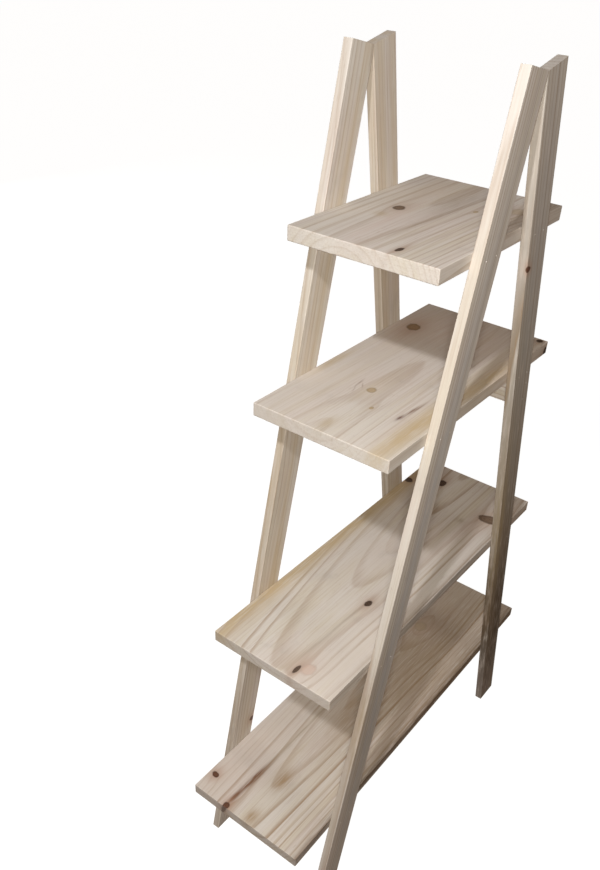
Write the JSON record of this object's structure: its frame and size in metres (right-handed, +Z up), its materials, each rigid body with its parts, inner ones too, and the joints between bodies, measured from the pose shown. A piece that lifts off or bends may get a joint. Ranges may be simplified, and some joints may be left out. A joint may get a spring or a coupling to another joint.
{
  "type": "ladder shelf",
  "caption": "Free-standing A-frame ladder shelf in raw pine: leaning slat legs carry wooden boards that grow longer towards the floor, with a rail under the upper board.",
  "frame": {"origin": "on the floor, in the middle of the four feet", "axes": "+Z up; +X along the boards, to the right as seen from the front; the front frame is on the -Y side"},
  "size_m": [0.8304, 0.27, 1.413],
  "materials": {
    "board_pine": "raw planed pine, matt",
    "slat_pine": "raw planed pine, matt",
    "nail_steel": "bright wire nail, dull"
  },
  "bodies": {
    "root": {"bottom_shelf": "board_pine", "lower_shelf": "board_pine", "upper_shelf": "board_pine", "top_shelf": "board_pine", "front_left_leg": "slat_pine", "front_right_leg": "slat_pine", "back_left_leg": "slat_pine", "back_right_leg": "slat_pine", "cross_rail": "slat_pine", "bottom_shelf_nails": "nail_steel", "lower_shelf_nails": "nail_steel", "upper_shelf_nails": "nail_steel", "top_shelf_nails": "nail_steel", "cross_rail_nails": "nail_steel", "peak_nails": "nail_steel"}
  },
  "joints": []
}
